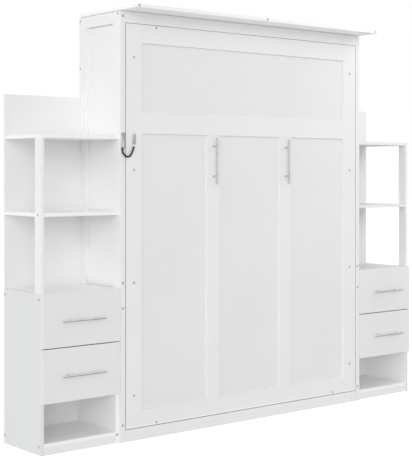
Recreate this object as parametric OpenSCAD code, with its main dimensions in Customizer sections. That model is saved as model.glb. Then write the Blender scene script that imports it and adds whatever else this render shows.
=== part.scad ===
// Vertical wall bed in a framed cabinet between two shelf-and-drawer towers.
// Millimetres, +Z up, front towards -Y. The origin lies on the floor under the
// centre of the whole unit. "In" is the distance behind the cabinet's front plane.

/* [Cabinet] */
// Width over the two cabinet sides
cab_w = 1720; // [1600:5:1900]
// Depth from the front plane to the wall
cab_d = 380; // [365:5:450]
// Height under the top board
cab_h = 2172; // [2160:2:2250]
// Thickness of the top board and the boards of the towers
board_t = 18; // [15:1:22]
// How far the top board stands out over the front
overhang = 145; // [60:5:200]
// Thickness of the plain board of a cabinet side
side_core_t = 18; // [15:1:22]
// Thickness of the frame strips laid on the cabinet sides
side_frame_t = 12; // [8:1:15]
// Width of the upright strips on the cabinet sides
side_stile_w = 68; // [50:1:90]
// Height of the top strip on the cabinet sides
side_top_rail_h = 62; // [40:1:100]
// Height of the bottom strip on the cabinet sides
side_low_rail_h = 100; // [60:1:140]
// Shadow gap between the side strips and the top board
strip_gap = 2; // [1:0.5:5]
// Thickness of the back panels
back_t = 12; // [6:1:16]
// Height of the plinth under the bed front
plinth_h = 60; // [40:1:60]
// Thickness of the plinth board
plinth_t = 16; // [12:1:16]
// Height from the lower edge of the header board to the top board
header_h = 60; // [50:1:70]
// Shadow gap between the header board and the top board
header_gap = 1.5; // [1:0.5:6]
// Height of the two rails that are screwed to the wall
wall_rail_h = 100; // [80:5:120]
// Distance between the two screws of a wall rail
wall_hole_pitch = 1200; // [600:50:1500]
// Diameter of the holes for the wall screws
wall_hole_d = 8; // [6:0.5:10]

/* [Bed front] */
// Gap at the sides and the foot of the bed front
door_gap = 3.5; // [3:0.5:5]
// Gap between the bed front and the header board
door_top_gap = 2; // [1.5:0.5:5]
// Thickness of the flat board of the bed front
door_panel_t = 15; // [12:1:16]
// Thickness of the frame strips on the bed front
door_frame_t = 9; // [6:1:9]
// Width of the two outer stiles
door_stile_w = 100; // [80:1:120]
// Width of the two inner stiles
mullion_w = 88; // [60:1:110]
// Distance between the centres of the inner stiles
mullion_pitch = 520; // [420:5:620]
// Height of the top rail
door_top_rail_h = 95; // [60:1:110]
// Height of the bottom rail
door_low_rail_h = 87; // [60:1:110]
// Height of the lower edge of the middle rail
mid_rail_z = 1555; // [1500:5:1640]
// Height of the middle rail
mid_rail_h = 102; // [60:1:120]

/* [Handles and caps] */
// Length of a handle bar
handle_l = 248; // [200:2:300]
// Diameter of a handle bar
handle_d = 10; // [8:1:14]
// Distance between the two posts of a handle
handle_posts = 160; // [96:8:192]
// Diameter of a handle post
handle_post_d = 8; // [6:1:9]
// Distance from the front to the outside of a handle bar
handle_reach = 37; // [30:1:42]
// Height of the centre of the bed handles
handle_z = 1418; // [1350:1:1425]
// Distance of a drawer handle outside the middle of its front
pull_out = 5; // [0:1:20]
// Distance of a drawer handle below the middle of its front
pull_low = 3; // [0:1:20]
// Diameter of the screw caps
cap_d = 14; // [8:1:16]
// How far a screw cap stands out
cap_t = 1; // [0.6:0.1:1.5]
// Heights of the caps on the front edges of the cabinet
edge_cap_z = [86, 675, 801];
// Height of the lowest caps on the outer stiles
stile_cap_z = 228; // [150:1:300]
// Distance between the caps on the outer stiles
stile_cap_pitch = 571; // [400:1:600]
// Distance of the caps on the end rails from the bed front's sides
rail_cap_in = 190; // [120:5:300]
// Distance of the caps on the end rails from the bed front's ends
rail_cap_edge = 10; // [8:1:40]
// Distance of the caps on the sides from the edges of a board
cap_edge = 14; // [10:1:30]
// Distance of the rear caps on the cabinet sides from the rear edge
rear_cap_edge = 8; // [8:1:20]
// Distance between the two upper caps on the cabinet's rear edge
rear_cap_pitch = 248; // [150:1:400]

/* [Bed frame] */
// Height of the pivot above the floor
pivot_z = 253; // [253:1:262]
// Distance of the pivot behind the front plane
pivot_in = 38; // [36:0.5:38.5]
// Diameter of the pivot pins
pin_d = 16; // [12:1:18]
// Gap between the cabinet sides and the outside of the bed frame
frame_side_gap = 35; // [35:1:45]
// Width of the steel tubes of the bed frame
tube_w = 30; // [25:1:40]
// Depth of the steel tubes of the bed frame
tube_h = 60; // [50:2:70]
// Wall of the steel tubes
tube_wall = 2; // [1.5:0.5:3]
// Width of the beam under the middle of the slats
beam_w = 40; // [30:2:50]
// Depth of the beam under the middle of the slats
beam_h = 40; // [30:2:50]
// Distance from the bed front's ends to the steel frame
frame_end_gap = 18; // [16:1:30]
// Number of slats in each of the two columns
slat_count = 14; // [8:1:16]
// Width of a slat
slat_w = 63; // [48:1:70]
// Thickness of a slat
slat_t = 8; // [6:1:10]
// Rise of a slat in its middle
slat_bow = 12; // [6:1:16]
// Thickness of the steel plates on the bed frame
plate_t = 6; // [5:0.5:7]

/* [Gas struts] */
// Height of the upper strut joint
strut_z = 860; // [820:5:900]
// Distance of the upper strut joint behind the front plane
strut_in = 200; // [180:5:220]
// Distance of the lower strut joint below the pivot
strut_arm = 110; // [100:2:130]
// Outer diameter of a strut cylinder
strut_d = 22; // [18:1:23]
// Length of a strut cylinder
strut_cyl_l = 330; // [300:5:380]
// Diameter of a strut rod
strut_rod_d = 10; // [8:0.5:12]
// Length of a strut rod from its joint to the piston
strut_rod_l = 460; // [440:5:480]

/* [Foot leg] */
// Distance of the leg's joint below the top of the bed front
leg_drop = 100; // [90:0.5:120]
// Distance of the leg's joint behind the front plane
leg_in = 60; // [50:1:64]
// Length of the short end of the leg past its joint
leg_crank = 110; // [106:1:130]
// Diameter of the leg's tube
leg_d = 20; // [16:1:22]
// Diameter of the rubber sleeves on the leg's foot
foot_d = 25; // [22:1:30]
// Length of a rubber sleeve
foot_l = 90; // [60:5:140]

/* [Towers] */
// Width of one tower
tower_w = 448; // [400:2:520]
// Height of a tower's back panel
tower_h = 1750; // [1600:5:1900]
// Height of the top of the drawer case
case_h = 775; // [760:5:800]
// Height of the underside of the middle shelf
mid_shelf_z = 1144; // [1050:2:1250]
// Height of the underside of the top shelf
top_shelf_z = 1524; // [1400:2:1590]
// Depth of the narrow front upright
upright_d = 56; // [40:1:90]
// Height of the floor of the open bay
base_h = 56; // [40:1:80]

/* [Drawers] */
// Thickness of a drawer front
front_t = 16; // [12:1:18]
// Height of a drawer front
front_h = 261; // [240:1:262]
// Gap between the drawer fronts
front_gap = 4; // [2:0.5:5]
// Height of a drawer box
box_h = 180; // [140:5:190]
// Length of a drawer box behind its front
box_l = 330; // [280:5:336]
// Thickness of the walls of a drawer box
box_wall = 15; // [14:1:18]
// Thickness of the bottom of a drawer box
box_floor = 8; // [4:1:12]
// Gap between a drawer box and the case
box_gap = 2; // [1:0.5:3]
// Height of a runner strip
runner_h = 17; // [12:1:24]
// Depth of the groove that a runner strip enters
groove_d = 8; // [6:0.5:9]

/* [Cable lock] */
// Height of the lock body
lock_h = 78; // [60:1:90]
// Width of the lock body
lock_w = 20; // [14:1:28]
// Depth of the lock body
lock_d = 9; // [7:1:24]
// Height of the lower end of the lock body
lock_z = 1480; // [1440:5:1520]
// Height of the keeper
keeper_h = 55; // [40:1:60]
// Width of the keeper
keeper_w = 17; // [14:1:28]
// Depth of the keeper
keeper_d = 8; // [6:1:20]
// Diameter of the coated cable
cable_d = 9; // [6:0.5:9.5]

/* [Hidden] */
$fn = 48;

// clearances
running = 0.05;      // radial play of a pin in its bore
clear = 0.3;         // play between parts that pass each other
groove_play = 0.4;   // play of a runner strip in its groove
slat_play = 0.2;     // play of a slat in its holder
edge_play = 0.5;     // between the bed front's edge and the cabinet's plates

// planes of the whole unit
depth_all = cab_d + overhang + cap_t;
y_front = overhang + cap_t - depth_all / 2;
side_t = side_core_t + side_frame_t;
in_x = cab_w / 2 - side_t;            // inner face of a cabinet side
core_x = cab_w / 2 - side_frame_t;    // outer face of its plain board
back_in = cab_d - back_t;             // front face of the back panels

// bed front
door_x = in_x - door_gap;
door_z0 = plinth_h + door_gap;
door_z1 = cab_h - header_h - door_top_gap;
door_t = door_panel_t + door_frame_t;
mid_z1 = mid_rail_z + mid_rail_h;

// bed frame
frame_x = in_x - frame_side_gap;      // outer face of the side rails
rail_in_x = frame_x - tube_w;
frame_z0 = door_z0 + frame_end_gap;
frame_z1 = door_z1 - frame_end_gap;
deck_in = door_t + tube_h;            // rear face of the steel frame
slat_seat = 3;                        // holder's floor under a slat
slat_x0 = 6;                          // inner end of a slat
slat_end_in = 11;                     // from the frame's outer face to a slat's end
slat_x1 = frame_x - slat_end_in;
slat_l = slat_x1 - slat_x0;
slat_zone = frame_z1 - frame_z0 - 2 * tube_w;
slat_pitch = slat_zone / slat_count;
holder_rim = 5;                       // plastic round a slat's end
holder_d = slat_t + slat_seat + holder_rim;
holder_w = slat_w + 2 * holder_rim;
bush_wall = 3;
bush_d = pin_d + 2 * bush_wall;
flange_d = bush_d + 4;
pin_back = 7;                         // the pin ends this far inside the side tube
plate_margin = 32;                    // steel round a pin or stud on the cabinet's plates
boss_x = frame_x + plate_t;           // outer face of the bed's pivot plate
plate_top = 60;                       // that plate's reach over the pivot
plate_foot = 24;                      // and its reach under the strut's stud
wall_plate_t = door_gap - edge_play;  // the bed front's edge passes these plates
wall_plate_x = in_x - wall_plate_t;   // inner face of the cabinet's plates

// gas struts
strut_x = in_x - frame_side_gap / 2 + 3;
eye_t = 10;
eye_d = 22;
stud_d = 8;
eye_gap = 20;                         // from a joint to the strut's own tube
strut_dy = strut_in - pivot_in;
strut_dz = strut_z - pivot_z + strut_arm;
strut_l = sqrt(strut_dy * strut_dy + strut_dz * strut_dz);
strut_lean = atan2(strut_dy, strut_dz);
gland_l = 14;
strut_wall = 1.8;
piston_l = 12;

// foot leg
leg_z = door_z1 - leg_drop;
leg_x = frame_x + 5 + leg_d / 2;
leg_long = leg_in + pivot_z - pivot_in - foot_d / 2;
leg_eye_t = 12;
leg_eye_d = 28;
leg_pin_d = 12;
leg_pin_head = 3;

// towers
tower_x0 = cab_w / 2;
tower_x1 = tower_x0 + tower_w;
tower_in = front_t;                   // front of the tower's boards
case_x0 = tower_x0 + board_t;
case_x1 = tower_x1 - board_t;
case_w = case_x1 - case_x0;
front_side_gap = 1.5;
low_front_z = case_h - 1 - 2 * front_h - front_gap;
front_z = [low_front_z + front_h + front_gap, low_front_z];
box_rise = 30;
box_w = case_w - 2 * box_gap;
divider_z = low_front_z + 3;
runner_x = box_gap + groove_d - groove_play;
drawer_cx = (case_x0 + case_x1) / 2;

// cable lock, with the route of the cable's middle line from the lock body
lock_x = in_x + side_t / 2;
keeper_span = 66;                     // from the lock body to the keeper
keeper_rise = 18;                     // from the lock body's foot up to the keeper's
keeper_x = lock_x - keeper_span;
keeper_z = lock_z + keeper_rise;
ferrule_l = 9;
ferrule_d = cable_d + 4;
cable_in = -7;
cable_sides = 12;
cable_steps = [
    [-6.5, -9], [-6.5, -12], [-6, -16.9], [-4.6, -21.6], [-2.3, -25.9], [0.8, -29.7],
    [7.6, -36.5], [13.2, -40.7], [19.8, -43], [26.7, -43.4], [33.5, -41.8], [39.5, -38.4],
    [44.3, -33.3], [49, -26], [53.2, -18.3], [56.8, -10.4], [59.9, -2.2], [62.3, 6.2],
    [64.2, 14.7], [64.8, 18]
];
cable_route = [for (p = cable_steps) [p[0] - lock_x, y_front + cable_in, p[1] + lock_z]];

// ---------------------------------------------------------------- helpers

// a block between two corners; the second value of each is the distance in
module block(a, b) {
    translate([a[0], y_front + a[1], a[2]]) cube([b[0] - a[0], b[1] - a[1], b[2] - a[2]]);
}

// a round bar along X, Y or Z from a point that is given as x, in, z
module at(p) { translate([p[0], y_front + p[1], p[2]]) children(); }
module bar_x(p, l, d) { at(p) rotate([0, 90, 0]) cylinder(h = l, d = d); }
module bar_y(p, l, d) { at(p) rotate([-90, 0, 0]) cylinder(h = l, d = d); }
module bar_z(p, l, d) { at(p) cylinder(h = l, d = d); }

module on_left() { mirror([1, 0, 0]) children(); }
module both_sides() {
    children();
    mirror([1, 0, 0]) children();
}

// a screw cap on a face that looks forward
module cap(x, into, z) { bar_y([x, into - cap_t, z], cap_t, cap_d); }

// ---------------------------------------------------------------- cabinet

module cabinet_side() {
    color("whitesmoke") block([in_x, 0, 0], [core_x, cab_d, cab_h]);
}

module side_stiles() {
    color("white") both_sides() {
        block([core_x, 0, 0], [cab_w / 2, side_stile_w, cab_h - strip_gap]);
        block([core_x, cab_d - side_stile_w, 0], [cab_w / 2, cab_d, cab_h - strip_gap]);
    }
}

module side_rails() {
    color("white") both_sides() {
        block([core_x, side_stile_w, cab_h - side_top_rail_h],
              [cab_w / 2, cab_d - side_stile_w, cab_h - strip_gap]);
        block([core_x, side_stile_w, 0], [cab_w / 2, cab_d - side_stile_w, side_low_rail_h]);
    }
}

module top_board() {
    color("white") block([-cab_w / 2, -overhang, cab_h], [cab_w / 2, cab_d, cab_h + board_t]);
}

module header() {
    color("gainsboro") block([-in_x, 0, cab_h - header_h], [in_x, board_t, cab_h - header_gap]);
}

module plinth() {
    color("whitesmoke") block([-in_x, 0, 0], [in_x, plinth_t, plinth_h]);
}

// the holes for the screws into the wall, through the wall rails and the back
module wall_holes() {
    for (x = [-0.5, 0.5] * wall_hole_pitch)
        for (z = [wall_rail_h / 2, cab_h - wall_rail_h / 2])
            bar_y([x, back_in - board_t - 1, z], board_t + back_t + 2, wall_hole_d);
}

module back_panel() {
    color("whitesmoke") difference() {
        block([-in_x, back_in, 0], [in_x, cab_d, cab_h]);
        wall_holes();
    }
}

module wall_rails() {
    color("gainsboro") difference() {
        for (z = [0, cab_h - wall_rail_h])
            block([-in_x, back_in - board_t, z], [in_x, back_in, z + wall_rail_h]);
        wall_holes();
    }
}

// steel plates on the cabinet sides: one with the fixed pivot pin, and one
// with the stud that carries the upper end of a gas strut
module mechanism_plates() {
    color("silver") both_sides() {
        union() {
            block([wall_plate_x, pivot_in - plate_margin, pivot_z - 2 * plate_margin],
                  [in_x, pivot_in + 2 * plate_margin, pivot_z + 2 * plate_margin]);
            bar_x([rail_in_x + pin_back, pivot_in, pivot_z], in_x - rail_in_x - pin_back, pin_d);
        }
        union() {
            block([wall_plate_x, strut_in - plate_margin, strut_z - plate_margin],
                  [in_x, strut_in + plate_margin, strut_z + plate_margin]);
            bar_x([strut_x - eye_t / 2 - 2, strut_in, strut_z], in_x - strut_x + eye_t / 2, stud_d);
        }
    }
}

// screw caps on an outer side face at x: p is the place in, and the height
module side_cap(x, p) { bar_x([x, p[0], p[1]], cap_t, cap_d); }

module cabinet_caps() {
    edge_x = cab_w / 2 - side_t / 2;
    rear_in = cab_d - cap_edge;
    front_in = tower_in + board_t;
    color("darkgray") {
        both_sides() {
            for (z = edge_cap_z) cap(edge_x, 0, z);
            cap(edge_x, -overhang, cab_h + board_t / 2);
            side_cap(cab_w / 2, [board_t + cap_d / 2, cab_h - cap_edge]);
            for (z = [0, rear_cap_pitch])
                side_cap(cab_w / 2, [cab_d - rear_cap_edge, cab_h - 1.5 * cap_edge - z]);
            for (z = [case_h - 2 * cap_edge, 3 * cap_edge]) for (into = [front_in, rear_in])
                side_cap(tower_x1, [into, z]);
            side_cap(tower_x1, [tower_in + upright_d / 2, mid_shelf_z + board_t / 2]);
            cap(tower_x0 + board_t / 2, tower_in, 3 * cap_edge);
        }
        on_left() cap(edge_x, 0, cab_h - 2 * cap_edge);
        cap(0, -overhang, cab_h + board_t / 2);
    }
}

// ---------------------------------------------------------------- towers

module tower_back() {
    color("whitesmoke") block([tower_x0, back_in, 0], [tower_x1, cab_d, tower_h]);
}

module tower_outer_side() {
    color("white") block([case_x1, tower_in, 0], [tower_x1, back_in, case_h]);
}

module tower_inner_side() {
    color("white") block([tower_x0, tower_in, 0], [case_x0, back_in, case_h]);
}

module upright_shape() {
    block([case_x1, tower_in, case_h], [tower_x1, tower_in + upright_d, top_shelf_z]);
}

module tower_shelves() {
    color("white") {
        block([tower_x0, tower_in, top_shelf_z], [tower_x1, back_in, top_shelf_z + board_t]);
        difference() {
            block([tower_x0, tower_in, mid_shelf_z], [tower_x1, back_in, mid_shelf_z + board_t]);
            upright_shape();
        }
    }
}

module tower_uprights() {
    color("white") both_sides() upright_shape();
}

module tower_case() {
    color("white") for (z = [case_h - board_t, divider_z, base_h - board_t])
        block([case_x0, tower_in, z], [case_x1, back_in, z + board_t]);
}

module tower_plinths() {
    color("whitesmoke") both_sides()
        block([case_x0, tower_in, 0], [case_x1, tower_in + board_t, base_h - board_t]);
}

// strips on the case walls that carry the drawers in their grooves
module drawer_runners() {
    color("silver") both_sides() for (z = front_z) {
        rz = z + box_rise + box_h / 2 - runner_h / 2;
        block([case_x0, tower_in + 4, rz], [case_x0 + runner_x, back_in - 6, rz + runner_h]);
        block([case_x1 - runner_x, tower_in + 4, rz], [case_x1, back_in - 6, rz + runner_h]);
    }
}

// ---------------------------------------------------------------- drawers

module drawer_front(level) {
    z = front_z[level];
    color("white") block([tower_x0 + front_side_gap, 0, z],
                         [tower_x1 - front_side_gap, front_t, z + front_h]);
}

module drawer_box(level) {
    z = front_z[level] + box_rise;
    x0 = case_x0 + box_gap;
    x1 = case_x1 - box_gap;
    groove_z = z + (box_h - runner_h) / 2 - groove_play;
    groove_h = runner_h + 2 * groove_play;
    color("gainsboro") difference() {
        block([x0, front_t, z], [x1, front_t + box_l, z + box_h]);
        block([x0 + box_wall, front_t + box_wall, z + box_floor],
              [x1 - box_wall, front_t + box_l - box_wall, z + box_h + 1]);
        for (x = [x0 - 1, x1 - groove_d])
            block([x, front_t + 2, groove_z],
                  [x + groove_d + 1, front_t + box_l + 1, groove_z + groove_h]);
    }
}

module drawer_handle(level) {
    z = front_z[level] + front_h / 2 - pull_low;
    x = drawer_cx + pull_out;
    color("silver") union() {
        bar_x([x - handle_l / 2, -handle_reach + handle_d / 2, z], handle_l, handle_d);
        for (s = [-1, 1])
            bar_y([x + s * handle_posts / 2, -handle_reach + handle_d / 2, z],
                  handle_reach - handle_d / 2, handle_post_d);
    }
}

// ---------------------------------------------------------------- bed front

module door_panel() {
    color("whitesmoke") block([-door_x, door_frame_t, door_z0], [door_x, door_t, door_z1]);
}

module door_stiles() {
    inner_z0 = door_z0 + door_low_rail_h;
    color("white") both_sides() {
        block([door_x - door_stile_w, 0, door_z0], [door_x, door_frame_t, door_z1]);
        block([(mullion_pitch - mullion_w) / 2, 0, inner_z0],
              [(mullion_pitch + mullion_w) / 2, door_frame_t, mid_rail_z]);
    }
}

module door_rails() {
    half = door_x - door_stile_w;
    color("white") for (r = [[door_z0, door_z0 + door_low_rail_h], [mid_rail_z, mid_z1],
                             [door_z1 - door_top_rail_h, door_z1]])
        block([-half, 0, r[0]], [half, door_frame_t, r[1]]);
}

module door_handle() {
    x = mullion_pitch / 2;
    color("silver") union() {
        bar_z([x, -handle_reach + handle_d / 2, handle_z - handle_l / 2], handle_l, handle_d);
        for (s = [-1, 1])
            bar_y([x, -handle_reach + handle_d / 2, handle_z + s * handle_posts / 2],
                  handle_reach - handle_d / 2, handle_post_d);
    }
}

module door_caps() {
    column_x = door_x - door_stile_w / 2;
    end_x = door_x - rail_cap_in;
    color("darkgray") both_sides() {
        for (i = [0:3]) cap(column_x, 0, stile_cap_z + i * stile_cap_pitch);
        cap(end_x, 0, door_z0 + rail_cap_edge);
        cap(end_x, 0, door_z1 - rail_cap_edge);
    }
}

// ---------------------------------------------------------------- bed frame

module bed_side_rails() {
    color("silver") both_sides() difference() {
        block([rail_in_x, door_t, frame_z0], [frame_x, deck_in, frame_z1]);
        block([rail_in_x + tube_wall, door_t + tube_wall, frame_z0 - 1],
              [frame_x - tube_wall, deck_in - tube_wall, frame_z1 + 1]);
        bar_x([rail_in_x - 1, pivot_in, pivot_z], tube_w + 2, bush_d);
    }
}

module bed_end_rails() {
    color("silver") for (z = [frame_z0, frame_z1 - tube_w]) difference() {
        block([-rail_in_x, door_t, z], [rail_in_x, deck_in, z + tube_w]);
        block([-rail_in_x - 1, door_t + tube_wall, z + tube_wall],
              [rail_in_x + 1, deck_in - tube_wall, z + tube_w - tube_wall]);
    }
}

module centre_beam() {
    z0 = frame_z0 + tube_w;
    z1 = frame_z1 - tube_w;
    color("silver") difference() {
        block([-beam_w / 2, deck_in - beam_h, z0], [beam_w / 2, deck_in, z1]);
        block([-beam_w / 2 + tube_wall, deck_in - beam_h + tube_wall, z0 - 1],
              [beam_w / 2 - tube_wall, deck_in - tube_wall, z1 + 1]);
    }
}

// height of a slat's lower face over its ends, at a distance x from its middle
function slat_rise(x) = slat_bow * (1 - pow(2 * x / slat_l, 2));
slat_steps = 10;
slat_xs = [for (i = [0:slat_steps]) slat_l * (i / slat_steps - 0.5)];
slat_outline = concat(
    [for (x = slat_xs) [x, slat_rise(x)]],
    [for (i = [slat_steps:-1:0]) [slat_xs[i], slat_rise(slat_xs[i]) + slat_t]]
);
function slat_mid(i) = frame_z0 + tube_w + slat_pitch * (i + 0.5);

module slats() {
    color("burlywood") both_sides() for (i = [0:slat_count - 1])
        translate([slat_x0 + slat_l / 2, y_front + deck_in + slat_seat, slat_mid(i) - slat_w / 2])
            linear_extrude(slat_w) polygon(slat_outline);
}

// a holder on a steel tube, with a pocket that the slat's end slips into
module holder(x0, x1, px0, px1, z) {
    difference() {
        block([x0, deck_in, z - holder_w / 2], [x1, deck_in + holder_d, z + holder_w / 2]);
        block([px0, deck_in + slat_seat - slat_play, z - slat_w / 2 - slat_play],
              [px1, deck_in + slat_seat + slat_t + 3, z + slat_w / 2 + slat_play]);
    }
}

module slat_holders() {
    color("dimgray") for (i = [0:slat_count - 1]) {
        z = slat_mid(i);
        both_sides() holder(rail_in_x, frame_x, rail_in_x - 1, slat_x1 + slat_play, z);
        difference() {
            holder(-beam_w / 2, beam_w / 2, slat_x0 - slat_play, beam_w / 2 + 1, z);
            block([-beam_w / 2 - 1, deck_in + slat_seat - slat_play, z - slat_w / 2 - slat_play],
                  [slat_play - slat_x0, deck_in + slat_seat + slat_t + 3, z + slat_w / 2 + slat_play]);
        }
    }
}

// steel plate on the outside of a side rail, bored for the bush
module bed_pivot_plates() {
    color("silver") both_sides() difference() {
        block([frame_x, door_t, pivot_z - strut_arm - plate_foot],
              [boss_x, deck_in - 2, pivot_z + plate_top]);
        bar_x([frame_x - 1, pivot_in, pivot_z], plate_t + 2, bush_d);
    }
}

module pivot_bushes() {
    color("dimgray") both_sides() difference() {
        union() {
            bar_x([rail_in_x + 2, pivot_in, pivot_z], boss_x - rail_in_x - 2, bush_d);
            bar_x([boss_x, pivot_in, pivot_z], wall_plate_x - boss_x - clear, flange_d);
        }
        bar_x([rail_in_x, pivot_in, pivot_z], tube_w * 3, pin_d + 2 * running);
    }
}

// studs on the bed frame: one for the leg, one that faces the strut's lower eye
module bed_studs() {
    color("silver") both_sides() {
        union() {
            bar_x([frame_x, leg_in, leg_z], leg_x - frame_x + leg_eye_t / 2 + clear, leg_pin_d);
            bar_x([leg_x + leg_eye_t / 2 + clear, leg_in, leg_z], leg_pin_head, leg_pin_d + 8);
        }
        bar_x([boss_x, pivot_in, pivot_z - strut_arm],
              strut_x - eye_t / 2 - clear - boss_x, stud_d + 6);
    }
}

// ---------------------------------------------------------------- foot leg

// cranked leg: from its joint down, then back over the foot of the mattress
module leg_half() {
    elbow_z = leg_z - leg_crank;
    tip_in = leg_in + leg_long;
    difference() {
        union() {
            bar_x([leg_x - leg_eye_t / 2, leg_in, leg_z], leg_eye_t, leg_eye_d);
            bar_z([leg_x, leg_in, elbow_z], leg_crank - leg_eye_d / 2 + 4, leg_d);
            at([leg_x, leg_in, elbow_z]) sphere(d = leg_d);
            bar_y([leg_x, leg_in, elbow_z], leg_long, leg_d);
            at([leg_x, tip_in, elbow_z]) sphere(d = leg_d);
            bar_x([0, tip_in, elbow_z], leg_x, leg_d);
        }
        bar_x([leg_x - leg_eye_t, leg_in, leg_z], leg_eye_t * 2, leg_pin_d + 2 * running);
    }
}

module leg_frame() {
    color("silver") union() both_sides() leg_half();
}

module leg_feet() {
    x0 = leg_x - leg_d / 2 - 10 - foot_l;
    color("dimgray") both_sides() difference() {
        bar_x([x0, leg_in + leg_long, leg_z - leg_crank], foot_l, foot_d);
        bar_x([x0 - 1, leg_in + leg_long, leg_z - leg_crank], foot_l + 2, leg_d);
    }
}

// ---------------------------------------------------------------- gas struts

// the strut's own frame: its upper joint at the origin, its rod down along -Z
module strut_frame(side) {
    translate([side * strut_x, y_front + strut_in, strut_z]) rotate([-strut_lean, 0, 0]) children();
}

module strut_cylinder(side) {
    bore = strut_d - 2 * strut_wall;
    z0 = -eye_gap - strut_cyl_l;
    color("dimgray") strut_frame(side) difference() {
        union() {
            translate([-eye_t / 2, 0, 0]) rotate([0, 90, 0]) cylinder(h = eye_t, d = eye_d);
            translate([0, 0, -eye_gap - 4]) cylinder(h = eye_gap, d = strut_rod_d);
            translate([0, 0, z0]) cylinder(h = strut_cyl_l, d = strut_d);
        }
        translate([0, 0, z0 + gland_l]) cylinder(h = strut_cyl_l - gland_l - 8, d = bore);
        translate([0, 0, z0 - 1]) cylinder(h = gland_l + 2, d = strut_rod_d + 2 * running);
        translate([-eye_t, 0, 0]) rotate([0, 90, 0]) cylinder(h = eye_t * 2, d = stud_d + 2 * running);
    }
}

module strut_rod(side) {
    bore = strut_d - 2 * strut_wall;
    color("silver") strut_frame(side) translate([0, 0, -strut_l]) union() {
        translate([-eye_t / 2, 0, 0]) rotate([0, 90, 0]) cylinder(h = eye_t, d = eye_d - 4);
        cylinder(h = strut_rod_l - piston_l / 2, d = strut_rod_d);
        translate([0, 0, strut_rod_l - piston_l]) cylinder(h = piston_l, d = bore - 2 * running);
    }
}

// ---------------------------------------------------------------- cable lock

module lock_body() {
    color("gray") translate([-lock_x, y_front, lock_z]) union() {
        translate([-lock_w / 2, -lock_d, 0]) cube([lock_w, lock_d, lock_h]);
        translate([0, -lock_d, lock_h * 0.55]) rotate([90, 0, 0]) cylinder(h = 2, d = lock_w * 0.6);
    }
}

module lock_keeper() {
    color("gray") translate([-keeper_x - keeper_w / 2, y_front - keeper_d, keeper_z])
        cube([keeper_w, keeper_d, keeper_h]);
}

function unit(v) = v / norm(v);
function lane_dir(p, i) = unit(p[min(i + 1, len(p) - 1)] - p[max(i - 1, 0)]);
// a ring round the route: one axis is Y, the other square to Y and the route
function ring(p, i, r) = let(t = lane_dir(p, i), s = unit(cross([0, 1, 0], t)))
    [for (k = [0:cable_sides - 1]) let(a = 360 * k / cable_sides)
        p[i] + r * cos(a) * s + r * sin(a) * [0, 1, 0]];

module swept_tube(p, d) {
    n = len(p);
    m = cable_sides;
    points = [for (i = [0:n - 1]) each ring(p, i, d / 2)];
    walls = [for (i = [0:n - 2]) for (k = [0:m - 1])
        [i * m + k, i * m + (k + 1) % m, (i + 1) * m + (k + 1) % m, (i + 1) * m + k]];
    ends = [[for (k = [m - 1:-1:0]) k], [for (k = [0:m - 1]) (n - 1) * m + k]];
    polyhedron(points, concat(ends, walls), convexity = 4);
}

module lock_cable() {
    color([0.12, 0.12, 0.13]) swept_tube(cable_route, cable_d);
}

// metal end of the cable, just under the lock body's mouth
module lock_ferrule() {
    color("gray") bar_z([cable_steps[0][0] - lock_x, cable_in, lock_z - ferrule_l],
                        ferrule_l - clear, ferrule_d);
}

// ---------------------------------------------------------------- nodes

on_left() cabinet_side();  // cabinet_side_left
cabinet_side();  // cabinet_side_right
side_stiles();
side_rails();
top_board();
header();
plinth();
back_panel();
wall_rails();
mechanism_plates();
cabinet_caps();
lock_body();
on_left() tower_back();  // tower_back_left
tower_back();  // tower_back_right
on_left() tower_outer_side();  // tower_outer_side_left
tower_outer_side();  // tower_outer_side_right
on_left() tower_inner_side();  // tower_inner_side_left
tower_inner_side();  // tower_inner_side_right
on_left() tower_shelves();  // tower_shelves_left
tower_shelves();  // tower_shelves_right
on_left() tower_case();  // tower_case_left
tower_case();  // tower_case_right
tower_uprights();
tower_plinths();
drawer_runners();
door_panel();
door_stiles();
door_rails();
on_left() door_handle();  // door_handle_left
door_handle();  // door_handle_right
door_caps();
bed_side_rails();
bed_end_rails();
centre_beam();
slats();
slat_holders();
bed_pivot_plates();
pivot_bushes();
bed_studs();
lock_keeper();
lock_cable();
lock_ferrule();
leg_frame();
leg_feet();
strut_cylinder(-1);  // strut_cylinder_left
strut_cylinder(1);  // strut_cylinder_right
strut_rod(-1);  // strut_rod_left
strut_rod(1);  // strut_rod_right
on_left() drawer_front(0);  // drawer_front_left_top
on_left() drawer_box(0);  // drawer_box_left_top
on_left() drawer_handle(0);  // drawer_handle_left_top
on_left() drawer_front(1);  // drawer_front_left_low
on_left() drawer_box(1);  // drawer_box_left_low
on_left() drawer_handle(1);  // drawer_handle_left_low
drawer_front(0);  // drawer_front_right_top
drawer_box(0);  // drawer_box_right_top
drawer_handle(0);  // drawer_handle_right_top
drawer_front(1);  // drawer_front_right_low
drawer_box(1);  // drawer_box_right_low
drawer_handle(1);  // drawer_handle_right_low
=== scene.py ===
"""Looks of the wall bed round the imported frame: camera, cable, materials, fittings and light."""

import math

import bmesh
import bpy
from mathutils import Matrix, Vector


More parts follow.
